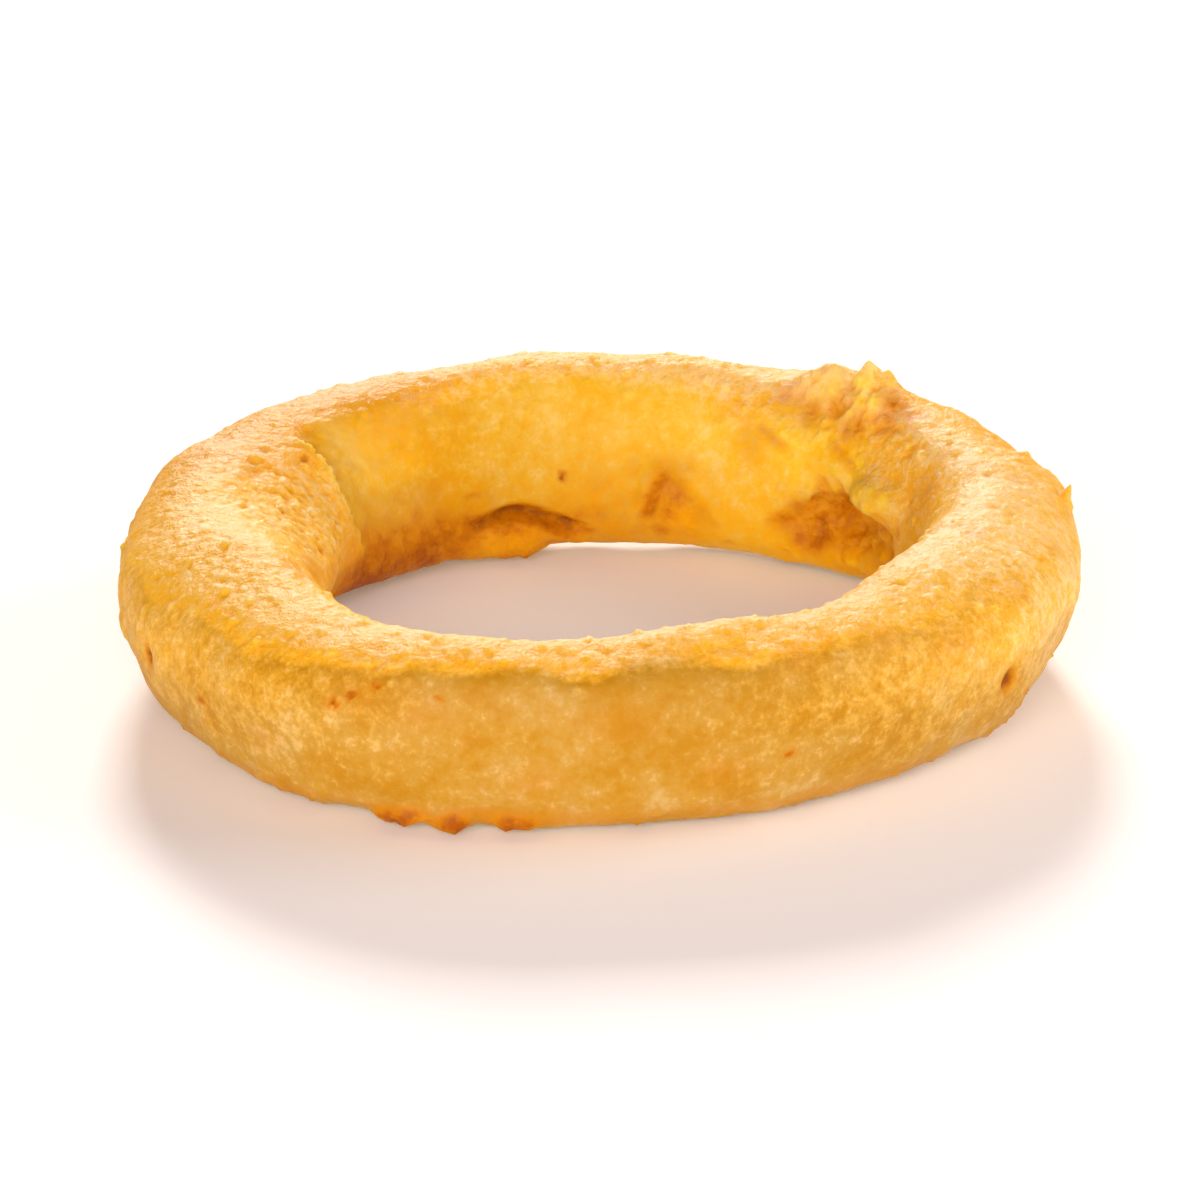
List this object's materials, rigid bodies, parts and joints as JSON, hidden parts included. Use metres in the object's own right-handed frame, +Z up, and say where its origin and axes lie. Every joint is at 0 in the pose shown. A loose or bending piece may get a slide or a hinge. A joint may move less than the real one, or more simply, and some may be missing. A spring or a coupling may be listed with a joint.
{
  "type": "onion ring",
  "caption": "Battered and fried onion ring lying flat: an uneven golden crust ring with a crisp peak on the rear rim.",
  "frame": {"origin": "on the table, under the middle of the ring's box", "axes": "+X to the ring's right, along its longest side; +Y to its rear, where the crisp peak stands; +Z up through the hole"},
  "size_m": [0.0748, 0.0722, 0.0173],
  "materials": {
    "batter_crust": "golden fried batter: fine pebbled crust, satin with an oily sheen, browner at peaks, drips and hollows"
  },
  "bodies": {
    "root": {"onion_ring": "batter_crust"}
  },
  "joints": []
}
